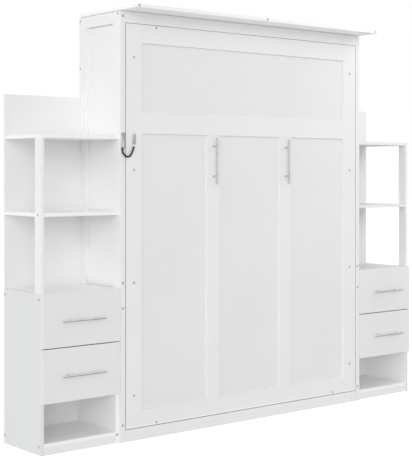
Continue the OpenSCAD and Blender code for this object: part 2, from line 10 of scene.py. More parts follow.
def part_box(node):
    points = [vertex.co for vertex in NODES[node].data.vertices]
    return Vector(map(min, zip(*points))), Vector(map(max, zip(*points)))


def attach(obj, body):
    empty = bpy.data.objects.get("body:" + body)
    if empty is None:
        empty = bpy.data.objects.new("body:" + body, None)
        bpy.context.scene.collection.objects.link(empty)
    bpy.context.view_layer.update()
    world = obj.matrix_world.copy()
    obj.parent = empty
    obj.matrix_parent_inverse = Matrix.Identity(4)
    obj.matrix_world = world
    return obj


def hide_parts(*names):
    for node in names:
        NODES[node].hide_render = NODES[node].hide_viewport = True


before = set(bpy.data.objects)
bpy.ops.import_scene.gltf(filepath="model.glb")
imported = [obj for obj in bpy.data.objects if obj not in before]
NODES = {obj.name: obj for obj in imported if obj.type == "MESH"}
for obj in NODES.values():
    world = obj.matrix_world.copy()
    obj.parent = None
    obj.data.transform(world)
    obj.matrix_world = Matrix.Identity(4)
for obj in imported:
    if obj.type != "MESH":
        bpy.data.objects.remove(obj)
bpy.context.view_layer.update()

MM = 0.001
FRONT = -0.117  # the cabinet's front plane, along Y, in metres
SIDES = ((-1, "left"), (1, "right"))
FORWARD, UP, ACROSS = (0, -1, 0), (0, 0, 1), (1, 0, 0)


def at(x, into, z):
    """A point from millimetres: x, the distance behind the front plane, and the height."""
    return Vector((x * MM, FRONT + into * MM, z * MM))


def new_object(name, data):
    obj = bpy.data.objects.new(name, data)
    bpy.context.collection.objects.link(obj)
    return obj


# ---------------------------------------------------------------- sizes, in mm

# cabinet: half width, depth, and height under the top board
CAB_X, CAB_D, CAB_H = 860, 380, 2172
# boards, the cabinet's sides with their frame strips, and the top board's overhang
BOARD = 18
SIDE_T = 30
OVERHANG = 145
IN_X = CAB_X - SIDE_T
# bed front: half width, lower and upper edge
DOOR_X = 826.5
DOOR_Z0, DOOR_Z1 = 63.5, 2110
# towers: outer face, set-back, top of the case, undersides of the shelves, depth of the upright
TOWER_X1 = 1308
TOWER_IN = 16
CASE_H = 775
MID_SHELF_Z = 1144
TOP_SHELF_Z = 1524
UPRIGHT_D = 56
# mechanism: pivot of the bed, upper eye of the gas struts, and their lower eye under the pivot
PIVOT_IN, PIVOT_Z = 38, 253
STRUT_X, STRUT_IN, STRUT_Z = 815.5, 200, 860
STRUT_ARM = 110
# bed frame: outer face and section of the side tubes
FRAME_X = 795
TUBE_W, TUBE_IN0, TUBE_IN1 = 30, 24, 84
# outer face of the bed's pivot plates, and inner face of the cabinet's mechanism plates
BOSS_X = FRAME_X + 6
WALL_PLATE_X = IN_X - 3
# handles: length, thickness, distance of the posts and reach, then their places
HANDLE_L, HANDLE_D, HANDLE_POSTS, HANDLE_REACH = 248, 10, 160, 37
BED_HANDLE_X, BED_HANDLE_Z = 260, 1418
PULL_X, PULL_Z = 1089, (("top", 640.5), ("low", 375.5))
# cable lock: body and keeper, each from the middle of its foot, and the cable with its end
LOCK_X, LOCK_Z = -845, 1480
LOCK_W, LOCK_D, LOCK_H = 20, 9, 78
KEEPER_X, KEEPER_Z = -779, 1498
KEEPER_W, KEEPER_D, KEEPER_H = 17, 8, 55
CABLE_D, CABLE_IN = 9, -7
FERRULE_R = 6.5

# ---------------------------------------------------------------- camera

# in pixels
IMAGE_W, IMAGE_H = 412, 460
FOCAL_PX = 1152.1
CENTRE_PX = (221.70, 172.80)
# turn to the right, place in metres, sensor in mm, and how far it sees in metres
YAW = math.radians(39.464)
CAMERA_AT = (-4.1381, -4.8977, 1.3556)
SENSOR = 36
FAR_CLIP = 200


def make_camera():
    data = bpy.data.cameras.new("photo_camera")
    data.sensor_fit = "VERTICAL"
    data.sensor_height = SENSOR
    data.sensor_width = SENSOR
    data.lens = FOCAL_PX * SENSOR / IMAGE_H
    data.shift_x = (IMAGE_W / 2 - CENTRE_PX[0]) / IMAGE_H
    data.shift_y = (CENTRE_PX[1] - IMAGE_H / 2) / IMAGE_H
    data.clip_end = FAR_CLIP
    cam = new_object("photo_camera", data)
    cam.location = CAMERA_AT
    cam.rotation_euler = (math.radians(90), 0, -YAW)
    bpy.context.scene.camera = cam


make_camera()

# ---------------------------------------------------------------- node helpers

# noise runs mostly between these two values
NOISE_LOW, NOISE_HIGH = 0.3, 0.7
# depths of the bumps, in metres
FINE_BUMP, BEECH_BUMP, GRAIN_BUMP = 0.0002, 0.0003, 0.0004
# how far roughness wanders down and up from its middle
SMOOTHER, ROUGHER, METAL_ROUGHER = 0.05, 0.07, 0.08
# the laminate's darkest and lightest clouds, and stained metal, as shares of the tone
CLOUD_DARK, CLOUD_LIGHT, STAIN = 0.970, 1.010, 0.90
# scales that draw the grain out along an axis, and the beech's pores along its own
GRAIN = {"x": (0.06, 1, 1), "y": (1, 0.06, 1), "z": (1, 1, 0.06)}
PORES = (0.10, 1, 1)


def new_material(name):
    mat = bpy.data.materials.new(name)
    mat.use_nodes = True
    tree = mat.node_tree
    tree.nodes.clear()
    out = tree.nodes.new("ShaderNodeOutputMaterial")
    bsdf = tree.nodes.new("ShaderNodeBsdfPrincipled")
    tree.links.new(bsdf.outputs["BSDF"], out.inputs["Surface"])
    return mat, tree, bsdf


def coords(tree, scale=(1, 1, 1)):
    tex = tree.nodes.new("ShaderNodeTexCoord")
    mapping = tree.nodes.new("ShaderNodeMapping")
    mapping.inputs["Scale"].default_value = scale
    tree.links.new(tex.outputs["Object"], mapping.inputs["Vector"])
    return mapping.outputs["Vector"]


def noise(tree, vector, scale, detail, roughness=0.5):
    node = tree.nodes.new("ShaderNodeTexNoise")
    node.inputs["Scale"].default_value = scale
    node.inputs["Detail"].default_value = detail
    node.inputs["Roughness"].default_value = roughness
    tree.links.new(vector, node.inputs["Vector"])
    return node.outputs["Fac"]


def blend(tree, one, two, share):
    """A mix of two grey patterns, with the share that the second has."""
    mix = tree.nodes.new("ShaderNodeMix")
    mix.data_type = "FLOAT"
    mix.inputs["Factor"].default_value = share
    tree.links.new(one, mix.inputs["A"])
    tree.links.new(two, mix.inputs["B"])
    return mix.outputs["Result"]


def ramp(tree, fac, stops):
    node = tree.nodes.new("ShaderNodeValToRGB")
    points = node.color_ramp.elements
    while len(points) < len(stops):
        points.new(0.5)
    for point, (place, colour) in zip(points, stops):
        point.position = place
        point.color = (*colour, 1)
    tree.links.new(fac, node.inputs["Fac"])
    return node.outputs["Color"]


def mottle(tree, fac, low, high):
    """A colour that wanders from low to high with a noise."""
    return ramp(tree, fac, [(NOISE_LOW, low), (NOISE_HIGH, high)])


def remap(tree, fac, low, high):
    """A number that wanders from low to high with a noise."""
    node = tree.nodes.new("ShaderNodeMapRange")
    for key, value in (("From Min", NOISE_LOW), ("From Max", NOISE_HIGH),
                       ("To Min", low), ("To Max", high)):
        node.inputs[key].default_value = value
    tree.links.new(fac, node.inputs["Value"])
    return node.outputs["Result"]


def bump(tree, height, strength, distance, base=None):
    node = tree.nodes.new("ShaderNodeBump")
    node.inputs["Strength"].default_value = strength
    node.inputs["Distance"].default_value = distance
    tree.links.new(height, node.inputs["Height"])
    if base is not None:
        tree.links.new(base, node.inputs["Normal"])
    return node.outputs["Normal"]


def finish_material(tree, bsdf, tone, roughness, normal):
    tree.links.new(tone, bsdf.inputs["Base Color"])
    tree.links.new(roughness, bsdf.inputs["Roughness"])
    tree.links.new(normal, bsdf.inputs["Normal"])


def grey(value, warm=0.0):
    return (value * (1 + warm), value, value * (1 - warm))


def shaded(colour, share):
    return tuple(c * share for c in colour)


def split_colour(tree, vector, axis, limit, near, far):
    """The far colour where the place along an axis is past a limit, and the near one elsewhere."""
    split = tree.nodes.new("ShaderNodeSeparateXYZ")
    off = tree.nodes.new("ShaderNodeMath")
    off.operation = "ABSOLUTE"
    past = tree.nodes.new("ShaderNodeMath")
    past.operation = "GREATER_THAN"
    past.inputs[1].default_value = limit
    mix = tree.nodes.new("ShaderNodeMix")
    mix.data_type = "RGBA"
    mix_colours = [socket for socket in mix.inputs if socket.type == "RGBA"]
    tree.links.new(vector, split.inputs["Vector"])
    tree.links.new(split.outputs[axis], off.inputs[0])
    tree.links.new(off.outputs["Value"], past.inputs[0])
    tree.links.new(past.outputs["Value"], mix.inputs["Factor"])
    tree.links.new(near, mix_colours[0])
    tree.links.new(far, mix_colours[1])
    return next(socket for socket in mix.outputs if socket.type == "RGBA")


# ---------------------------------------------------------------- materials


def laminate(name, light, grain, warm=0.0, gloss=0.40, near=None):
    """Satin laminate: faint cloudy tone, a light embossed grain along one axis, fine orange peel.

    light is its lightness, set lighter or darker in the copies below as painted light and shade;
    warm its tint, and gloss its middle roughness. near is an axis, a limit along it in mm, and the
    lightness up to that limit, where one board shows two tones of painted light and shade.
    """
    mat, tree, bsdf = new_material(name)
    plain = coords(tree)
    cloud = noise(tree, plain, scale=2.3, detail=2.0)
    streak = noise(tree, coords(tree, GRAIN[grain]), scale=160.0, detail=4.0, roughness=0.6)
    pattern = blend(tree, cloud, streak, share=0.35)

    def tone_of(value, tint):
        return mottle(tree, pattern, grey(value * CLOUD_DARK, tint),
                      grey(value * CLOUD_LIGHT, tint))

    tone = tone_of(light, warm)
    # painted light or shade: a second lightness on the faces up to the limit along the axis
    if near is not None:
        axis, limit, near_light = near
        tone = split_colour(tree, plain, axis, limit * MM, tone_of(near_light, 0.0), tone)
    peel = bump(tree, noise(tree, plain, scale=900.0, detail=2.0), 0.10, FINE_BUMP)
    finish_material(tree, bsdf, tone, remap(tree, streak, gloss - SMOOTHER, gloss + ROUGHER),
                    bump(tree, streak, 0.30, GRAIN_BUMP, peel))
    return mat


def metal(name, colour, rough, grain="z", fine=420.0, depth=0.10):
    """Metal with a brushed or rolled surface along one axis and faint stains."""
    mat, tree, bsdf = new_material(name)
    bsdf.inputs["Metallic"].default_value = 1.0
    brush = noise(tree, coords(tree, GRAIN[grain]), fine, detail=3.0, roughness=0.6)
    stain = noise(tree, coords(tree), scale=18.0, detail=3.0)
    finish_material(tree, bsdf, mottle(tree, stain, shaded(colour, STAIN), colour),
                    remap(tree, brush, rough - SMOOTHER, rough + METAL_ROUGHER),
                    bump(tree, brush, depth, FINE_BUMP))
    return mat


def paint(name, colour, rough, grain_scale, depth, shade=0.9):
    """Powder coat, moulded plastic or rubber: a fine grain with a little change of tone."""
    mat, tree, bsdf = new_material(name)
    plain = coords(tree)
    grain = noise(tree, plain, grain_scale, detail=2.0)
    patch = noise(tree, plain, scale=14.0, detail=3.0)
    finish_material(tree, bsdf, mottle(tree, patch, shaded(colour, shade), colour),
                    remap(tree, grain, rough - SMOOTHER, rough + ROUGHER),
                    bump(tree, grain, depth, FINE_BUMP))
    return mat


def beech(name):
    """Lacquered beech: long grain, dark pore flecks and slow changes of colour along X."""
    mat, tree, bsdf = new_material(name)
    grain = noise(tree, coords(tree, GRAIN["x"]), scale=110.0, detail=6.0, roughness=0.65)
    fleck = noise(tree, coords(tree, PORES), scale=900.0, detail=2.0)
    pattern = blend(tree, grain, fleck, share=0.3)
    tone = ramp(tree, pattern, [(0.34, (0.42, 0.26, 0.13)), (0.48, (0.60, 0.41, 0.23)),
                                (0.66, (0.72, 0.53, 0.33))])
    finish_material(tree, bsdf, tone, remap(tree, grain, 0.34, 0.50),
                    bump(tree, pattern, 0.22, BEECH_BUMP))
    return mat


# lightness of the laminates: apart from the boards inside, one white laminate in lighter and
# darker copies, painted light and painted shade for how the light falls on each board; the foot
# strip's is a painted highlight
WHITE, SHADED_WHITE, LIT_WHITE, HEADER_LIT = 0.862, 0.83, 0.95, 0.90
TOWER_IN_SIDE_LIT, TOWER_SIDE_SHADED, UPRIGHT_LIT = 0.93, 0.785, 0.89
FOOT_HIGHLIGHT, INSIDE = 0.96, 0.78
# painted shade on the faces inside the gaps, round the bed front and between the drawers
GAP_SHADE = 0.64
# tints of the boards inside and, as painted shade, of the towers' outer faces; and the roughness
# of the boards inside
INSIDE_WARM, TOWER_SIDE_COOL_SHADE = 0.004, -0.006
INSIDE_GLOSS = 0.48
# how far a change of painted tone lies off the face that it is for, and the low drawer fronts'
# top, in mm
OFF = 0.5
LOW_FRONT_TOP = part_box("drawer_front_left_low")[1][2] / MM

white_z = laminate("white_laminate_upright", WHITE, "z")
white_x = laminate("white_laminate_across", WHITE, "x")
white_y = laminate("white_laminate_deep", WHITE, "y")
# the foot strip: lighter than the boards and coated, a painted highlight along the foot of the bed
# front
foot_highlight_mat = laminate("foot_strip_painted_highlight", FOOT_HIGHLIGHT, "x", gloss=0.25)
foot_highlight_mat.node_tree.nodes["Principled BSDF"].inputs["Coat Weight"].default_value = 1.0
# darker copies of the white laminate, painted shade: on the bed front's recessed field, the top
# drawer fronts and the right tower's shelves
shaded_z = laminate("white_laminate_painted_shade", SHADED_WHITE, "z")
shaded_x = laminate("white_laminate_painted_shade_across", SHADED_WHITE, "x")
# a lighter copy of the white laminate, painted light: on the top board and the left tower's
# shelves and case
lit_x = laminate("white_laminate_painted_light", LIT_WHITE, "x")
# towers' outer sides: the outer faces darker and cooler, painted shade; the faces inside the bays
# lighter, painted light
tower_side_shade_z = laminate("tower_side_painted_shade_and_light", TOWER_SIDE_SHADED, "z", TOWER_SIDE_COOL_SHADE,
                  near=("X", TOWER_X1 - BOARD + OFF, LIT_WHITE))
# right tower's case: its top board darker, a painted shadow of the cabinet; the boards under it
# lighter, painted light
case_shade_x = laminate("right_case_painted_shadow_and_light", SHADED_WHITE, "x", near=("Z", CASE_H - BOARD - OFF, LIT_WHITE))
# the header a lighter copy: painted light against the shade under the top board's overhang
header_lit_x = laminate("header_painted_light", HEADER_LIT, "x")
# the towers' uprights a lighter copy: painted light
upright_lit_z = laminate("upright_painted_light", UPRIGHT_LIT, "z")
# cabinet's sides: their inner faces, seen in the gaps beside the bed front, darker as painted
# shade
cabinet_gap_shade_z = laminate("cabinet_side_painted_gap_shade", WHITE, "z", near=("X", IN_X + OFF, GAP_SHADE))
# bed front's stiles: their outer edges, in the gaps, darker as painted shade
stile_gap_shade_z = laminate("door_stile_painted_gap_shade", GAP_SHADE, "z", near=("X", DOOR_X - OFF, WHITE))
# low drawer fronts: their top edges darker as painted shade in the gaps; their faces the darker
# copy, painted shade
low_front_gap_shade_x = laminate("low_front_painted_gap_shade", GAP_SHADE, "x", near=("Z", LOW_FRONT_TOP - OFF, SHADED_WHITE))
# the towers' inner sides a lighter copy: painted light
tower_inner_lit_z = laminate("tower_inner_painted_light", TOWER_IN_SIDE_LIT, "z")
inside_z = laminate("inside_laminate_upright", INSIDE, "z", INSIDE_WARM, INSIDE_GLOSS)
inside_x = laminate("inside_laminate_across", INSIDE, "x", INSIDE_WARM, INSIDE_GLOSS)
# one brushed nickel in three tones along its brushing: the upright bars darker, painted shade, the
# bars across lighter, painted light, and the posts between
nickel_upright_shaded = metal("brushed_nickel_upright_painted_shade", (0.47, 0.468, 0.462), 0.30, "z")
nickel_across_lit = metal("brushed_nickel_across_painted_light", (0.72, 0.715, 0.69), 0.28, "x")
nickel_y = metal("brushed_nickel_post", (0.61, 0.605, 0.59), 0.30, "y")
zinc = metal("zinc_steel", (0.66, 0.67, 0.69), 0.36, "z", 240.0, 0.16)
lock_metal = metal("lock_metal", (0.56, 0.56, 0.57), 0.34, "x", 520.0, 0.12)
lock_light = metal("lock_metal_light", (0.50, 0.50, 0.51), 0.50, "x", 520.0, 0.12)
ring_bright = metal("bright_ring", (0.90, 0.90, 0.90), 0.30, "x", 520.0, 0.08)
ferrule_dark = metal("blackened_metal", (0.10, 0.10, 0.105), 0.38, "x", 520.0, 0.12)
chrome = metal("chrome_rod", (0.78, 0.79, 0.80), 0.10, "z", 800.0, 0.03)
runner_steel = metal("runner_steel", (0.60, 0.61, 0.62), 0.34, "y", 300.0, 0.12)
powder = paint("powder_steel", (0.56, 0.57, 0.58), 0.42, 700.0, 0.18, 0.965)
enamel = paint("black_enamel", (0.030, 0.031, 0.033), 0.28, 900.0, 0.06)
plastic = paint("dark_plastic", (0.045, 0.046, 0.050), 0.46, 1100.0, 0.20)
cap_grey = paint("grey_cap", (0.50, 0.50, 0.50), 0.40, 1200.0, 0.10)
cap_pale = paint("pale_cap", (0.66, 0.66, 0.66), 0.40, 1200.0, 0.10)
rubber = paint("foot_rubber", (0.028, 0.028, 0.029), 0.72, 900.0, 0.35)
cable_black = paint("black_coating", (0.010, 0.010, 0.011), 0.46, 1500.0, 0.16)
slat_wood = beech("beech")

# ---------------------------------------------------------------- mesh helpers

# edges sharper than this are rounded and keep their crease
SHARP = math.radians(35)
# points of the CAD meshes closer than this are one, in metres, and faces flatter than this are one
WELD, FLAT = 1e-6, math.radians(1)


def shade_smooth(obj):
    for poly in obj.data.polygons:
        poly.use_smooth = True


def round_edges(obj, width):
    mod = obj.modifiers.new("edge", "BEVEL")
    mod.width = width
    mod.segments = 2
    mod.limit_method = "ANGLE"
    mod.angle_limit = SHARP


def piece(name, bm, material, body, replaces=(), bevel=0.0):
    """A bmesh as a piece that rides on a CAD body; bevel is in mm."""
    mesh = bpy.data.meshes.new(name)
    bmesh.ops.recalc_face_normals(bm, faces=bm.faces)
    bm.to_mesh(mesh)
    bm.free()
    obj = new_object(name, mesh)
    mesh.materials.append(material)
    if bevel:
        round_edges(obj, bevel * MM)
    shade_smooth(obj)
    mesh.set_sharp_from_angle(angle=SHARP)
    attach(obj, body)
    if replaces:
        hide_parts(*replaces)
    return obj


def add_box(bm, low, high):
    size = high - low
    mid = (high + low) / 2
    for v in bmesh.ops.create_cube(bm, size=1.0)["verts"]:
        v.co = Vector((v.co.x * size.x, v.co.y * size.y, v.co.z * size.z)) + mid


def add_lathe(bm, origin, direction, profile, steps):
    """A turned shape, closed at both ends: profile is (radius, distance along it), in mm."""
    turn = Vector(direction).normalized().to_track_quat("Z", "Y").to_matrix().to_4x4()
    turn = Matrix.Translation(origin) @ turn
    angles = [2 * math.pi * k / steps for k in range(steps)]
    rings = []
    for radius, along in profile:
        if radius == 0:
            rings.append([bm.verts.new(turn @ Vector((0, 0, along * MM)))])
            continue
        rings.append([bm.verts.new(turn @ Vector((radius * MM * math.cos(a),
                                                  radius * MM * math.sin(a), along * MM)))
                      for a in angles])
    for one, two in zip(rings, rings[1:]):
        for k in range(steps):
            a, b = one[k % len(one)], one[(k + 1) % len(one)]
            c, d = two[(k + 1) % len(two)], two[k % len(two)]
            corners = [v for i, v in enumerate((a, b, c, d)) if v not in (a, b, c, d)[:i]]
            if len(corners) > 2:
                bm.faces.new(corners)
    if len(rings[0]) > 1:
        bm.faces.new(list(reversed(rings[0])))
    if len(rings[-1]) > 1:
        bm.faces.new(rings[-1])


def join_outlines(bm, one, two):
    """Closes the space between two outlines with as many points each."""
    bm.faces.new(one)
    bm.faces.new(list(reversed(two)))
    n = len(one)
    for i in range(n):
        bm.faces.new((one[i], one[(i + 1) % n], two[(i + 1) % n], two[i]))


def soften(obj, width):
    """Gives a CAD node small rounded edges without changing its own vertices."""
    weld = obj.modifiers.new("weld", "WELD")
    weld.merge_threshold = WELD
    flat = obj.modifiers.new("flat", "DECIMATE")
    flat.decimate_type = "DISSOLVE"
    flat.angle_limit = FLAT
    round_edges(obj, width)
    shade_smooth(obj)
    normal = obj.modifiers.new("normal", "WEIGHTED_NORMAL")
    normal.keep_sharp = False
    normal.weight = 80


def dress(names, material, width=0.8):
    """Gives CAD nodes a material and rounded edges of a width in mm."""
    for name in names:
        obj = NODES[name]
        obj.data.materials.clear()
        obj.data.materials.append(material)
        soften(obj, width * MM)


# ---------------------------------------------------------------- cable

# route from the lock body's mouth into the keeper, across and up from the body's foot, in mm
CABLE_STEPS = [
    (-6.5, -9), (-6.5, -12), (-6, -16.9), (-4.6, -21.6), (-2.3, -25.9), (0.8, -29.7),
    (7.6, -36.5), (13.2, -40.7), (19.8, -43), (26.7, -43.4), (33.5, -41.8), (39.5, -38.4),
    (44.3, -33.3), (49, -26), (53.2, -18.3), (56.8, -10.4), (59.9, -2.2), (62.3, 6.2),
    (64.2, 14.7), (64.8, 18),
]
CABLE_ROUTE = [at(LOCK_X + x, CABLE_IN, LOCK_Z + z) for x, z in CABLE_STEPS]


def smooth_route(points, parts=4):
    """The same route with more points on it, on a curve through them."""
    out = []
    for i in range(len(points) - 1):
        p0, p1 = points[max(i - 1, 0)], points[i]
        p2, p3 = points[i + 1], points[min(i + 2, len(points) - 1)]
        for k in range(parts):
            t = k / parts
            out.append(0.5 * ((2 * p1) + (p2 - p0) * t + (2 * p0 - 5 * p1 + 4 * p2 - p3) * t * t
                              + (3 * p1 - p0 - 3 * p2 + p3) * t ** 3))
    out.append(points[-1])
    return out


def make_cable():
    route = smooth_route(CABLE_ROUTE)
    data = bpy.data.curves.new("lock_cable_tube", "CURVE")
    data.dimensions = "3D"
    data.bevel_depth = CABLE_D / 2 * MM
    data.bevel_resolution = 6
    data.use_fill_caps = True
    line = data.splines.new("POLY")
    line.points.add(len(route) - 1)
    for point, place in zip(line.points, route):
        point.co = (*place, 1)
    line.use_smooth = True
    obj = new_object("lock_cable_tube", data)
    data.materials.append(cable_black)
    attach(obj, "bed")
    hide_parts("lock_cable")
    length = sum((b - a).length for a, b in zip(route, route[1:]))
    return obj, length


def make_ferrule():
    """Crimped metal end of the cable: two rings with a waist."""
    bm = bmesh.new()
    r = FERRULE_R
    add_lathe(bm, CABLE_ROUTE[0], UP,
              [(r * 0.80, 0), (r, 0.6), (r, 2.6), (r * 0.86, 3.3), (r * 0.86, 4.3), (r, 5.0),
               (r, 7.6), (r * 0.84, 8.6)], 28)
    return piece("lock_ferrule_crimped", bm, ferrule_dark, "bed", ["lock_ferrule"])


def make_ring():
    """Bright ring that closes the keeper end of the cable."""
    bm = bmesh.new()
    r, back = CABLE_D / 2, 9 * MM
    along = (CABLE_ROUTE[-1] - CABLE_ROUTE[-2]).normalized()
    add_lathe(bm, CABLE_ROUTE[-1] - along * back, along,
              [(r, 0), (r * 1.12, 0.5), (r * 1.12, 2.6), (r * 1.04, 3.2), (r * 1.04, 4.6),
               (r * 1.12, 5.2), (r * 1.12, 8.2), (r, 8.8)], 28)
    return piece("keeper_ring", bm, ring_bright, "bed")


cable, cable_length = make_cable()
ferrule, ring = make_ferrule(), make_ring()

# ---------------------------------------------------------------- boards

dress(["side_stiles", "tower_back_left", "tower_back_right"], white_z)
dress(["cabinet_side_left", "cabinet_side_right"], cabinet_gap_shade_z)
dress(["door_stiles"], stile_gap_shade_z)
dress(["tower_inner_side_left", "tower_inner_side_right"], tower_inner_lit_z)
dress(["tower_uprights"], upright_lit_z)
dress(["tower_outer_side_left", "tower_outer_side_right"], tower_side_shade_z)
dress(["door_panel"], shaded_z)
dress(["side_rails"], white_y)
dress(["plinth", "tower_plinths", "door_rails"], white_x)
dress(["header"], header_lit_x)
dress(["tower_shelves_right"], shaded_x)
dress(["tower_case_right"], case_shade_x)
dress(["top_board", "tower_shelves_left", "tower_case_left"], lit_x)
dress(["back_panel"], inside_z)
dress(["wall_rails"], inside_x)
for _, word in SIDES:
    dress(["drawer_front_" + word + "_top"], shaded_x)
    dress(["drawer_front_" + word + "_low"], low_front_gap_shade_x)
    dress(["drawer_box_" + word + "_top", "drawer_box_" + word + "_low"], inside_x, 0.6)

# ---------------------------------------------------------------- bed frame and mechanism

dress(["bed_side_rails", "bed_end_rails", "centre_beam", "leg_frame"], powder, 1.2)
dress(["slats"], slat_wood, 1.5)
dress(["slat_holders", "pivot_bushes"], plastic)
dress(["mechanism_plates", "bed_pivot_plates", "bed_studs"], zinc, 0.6)
dress(["drawer_runners"], runner_steel, 0.6)
dress(["leg_feet"], rubber, 1.2)
dress(["strut_cylinder_left", "strut_cylinder_right"], enamel)
dress(["strut_rod_left", "strut_rod_right"], chrome, 0.5)

# ---------------------------------------------------------------- handles


def add_handle(bm, centre, axis):
    """A round bar with chamfered, grooved ends on two turned posts; centre is on the board's face.

    The posts take the second material.
    """
    axis = Vector(axis)
    r, half = HANDLE_D / 2, HANDLE_L / 2
    reach = HANDLE_REACH - r
    chamfer, dip = 0.9, r - 0.25
    end = [(0, 0.2), (r - 2.2 * chamfer, 0), (r - chamfer, 0), (r, chamfer), (r, 4), (dip, 4.3),
           (dip, 4.9), (r, 5.2)]
    other_end = [(radius, 2 * half - along) for radius, along in reversed(end)]
    bar_mid = centre + Vector(FORWARD) * reach * MM
    add_lathe(bm, bar_mid - axis * half * MM, axis, end + other_end, 40)
    bar_faces = set(bm.faces)
    for side in (-1, 1):
        foot = centre + axis * side * HANDLE_POSTS / 2 * MM
        add_lathe(bm, foot, FORWARD,
                  [(6.0, 0), (6.0, 1.2), (5.4, 1.8), (4.4, 2.4), (4.0, 4.0), (4.0, reach - 5.0),
                   (4.5, reach - 3.6), (4.6, reach - 1), (2, reach)], 32)
    for face in bm.faces:
        face.material_index = 0 if face in bar_faces else 1


for side, word in SIDES:
    bm = bmesh.new()
    add_handle(bm, at(side * BED_HANDLE_X, 0, BED_HANDLE_Z), UP)
    handle = piece("bed_handle_" + word, bm, nickel_upright_shaded, "bed",
                   ["door_handle_" + word])
    handle.data.materials.append(nickel_y)
    for level, height in PULL_Z:
        bm = bmesh.new()
        add_handle(bm, at(side * PULL_X, 0, height), ACROSS)
        key = word + "_" + level
        pull = piece("pull_" + key, bm, nickel_across_lit, "drawer_" + key,
                     ["drawer_handle_" + key])
        pull.data.materials.append(nickel_y)

# ---------------------------------------------------------------- screw caps

CAP_R, CAP_H = 7, 1
# on the front edges of the cabinet's sides: heights, and the upper left one from the top down
EDGE_CAP_Z, UPPER_CAP_DOWN = (86, 675, 801), 28
# on the cabinet's outer sides: place behind the front plane, down from the top, and pitch
SIDE_CAP_IN, SIDE_CAP_DOWN = BOARD + 5, 14
REAR_CAP_IN, REAR_CAP_DOWN, REAR_CAP_PITCH = CAB_D - 8, 21, 248
# on the towers: down from the case's top, up from the floor, and place of the rear ones
TOWER_CAP_DOWN, TOWER_CAP_UP, TOWER_CAP_REAR = 28, 42, CAB_D - 14
# on the bed front's stiles: in from its sides, height of the lowest, pitch and number on each
STILE_CAP_IN, STILE_CAP_Z, STILE_CAP_PITCH, STILE_CAPS = 50, 228, 571, 4
# on its rails: in from its sides, and in from its upper or lower edge
RAIL_CAP_IN, RAIL_CAP_END = 190, 10


def add_cap(bm, centre, normal):
    """A domed cap with a shallow dimple."""
    r, h = CAP_R, CAP_H
    add_lathe(bm, centre, normal,
              [(r, 0), (r, h * 0.35), (r * 0.86, h * 0.80), (r * 0.60, h), (r * 0.34, h),
               (r * 0.24, h * 0.72), (0, h * 0.68)], 28)


def cabinet_cap_places():
    edge_x = CAB_X - SIDE_T / 2
    board_mid = BOARD / 2
    for sign in (-1, 1):
        out = (sign, 0, 0)
        for z in EDGE_CAP_Z:
            yield at(sign * edge_x, 0, z), FORWARD
        yield at(sign * edge_x, -OVERHANG, CAB_H + board_mid), FORWARD
        yield at(sign * CAB_X, SIDE_CAP_IN, CAB_H - SIDE_CAP_DOWN), out
        for z in (0, REAR_CAP_PITCH):
            yield at(sign * CAB_X, REAR_CAP_IN, CAB_H - REAR_CAP_DOWN - z), out
        for z in (CASE_H - TOWER_CAP_DOWN, TOWER_CAP_UP):
            for into in (TOWER_IN + BOARD, TOWER_CAP_REAR):
                yield at(sign * TOWER_X1, into, z), out
        yield at(sign * TOWER_X1, TOWER_IN + UPRIGHT_D / 2, MID_SHELF_Z + board_mid), out
        yield at(sign * (CAB_X + board_mid), TOWER_IN, TOWER_CAP_UP), FORWARD
    yield at(-edge_x, 0, CAB_H - UPPER_CAP_DOWN), FORWARD
    yield at(0, -OVERHANG, CAB_H + board_mid), FORWARD


def door_cap_places():
    """A column on each stile, two on the lower rail and one on the upper rail."""
    for sign in (-1, 1):
        for k in range(STILE_CAPS):
            z = STILE_CAP_Z + STILE_CAP_PITCH * k
            yield at(sign * (DOOR_X - STILE_CAP_IN), 0, z), FORWARD
        yield at(sign * (DOOR_X - RAIL_CAP_IN), 0, DOOR_Z0 + RAIL_CAP_END), FORWARD
    yield at(-(DOOR_X - RAIL_CAP_IN), 0, DOOR_Z1 - RAIL_CAP_END), FORWARD


for name, places, body, node in (
        ("cabinet_cap_set", cabinet_cap_places, "cabinet", "cabinet_caps"),
        ("door_cap_set", door_cap_places, "bed", "door_caps")):
    bm = bmesh.new()
    for centre, normal in places():
        add_cap(bm, centre, normal)
    piece(name, bm, cap_grey, body, [node])

# ---------------------------------------------------------------- cable lock


def add_plate(bm, x, z, w, h, back, front, corner=3.0, steps=6):
    """An upright plate with rounded corners, between two distances before the front plane."""
    left, right, low, high = corner - w / 2, w / 2 - corner, corner, h - corner
    outline = []
    for cx, cz, start in ((right, low, -90), (right, high, 0), (left, high, 90), (left, low, 180)):
        for k in range(steps + 1):
            a = math.radians(start + 90 * k / steps)
            outline.append((x + cx + corner * math.cos(a), z + cz + corner * math.sin(a)))
    join_outlines(bm, *([bm.verts.new(at(px, -depth, pz)) for px, pz in outline]
                        for depth in (back, front)))


def add_barrel(bm, x, z0, z1, r, centre_in):
    """The rounded middle of a housing: an upright bar with a collar at each end."""
    end = [(r * 0.86, 0), (r, 1.2), (r, 4), (r * 0.93, 4.6)]
    other_end = [(radius, z1 - z0 - along) for radius, along in reversed(end)]
    add_lathe(bm, at(x, centre_in, z0), UP, end + other_end, 24)


# body: a foot plate, a cap part over a groove, and an upright barrel
LOCK_CAP, LOCK_GROOVE, LOCK_STEP = 11.5, 1.5, 3
LOCK_TOP = LOCK_Z + LOCK_H
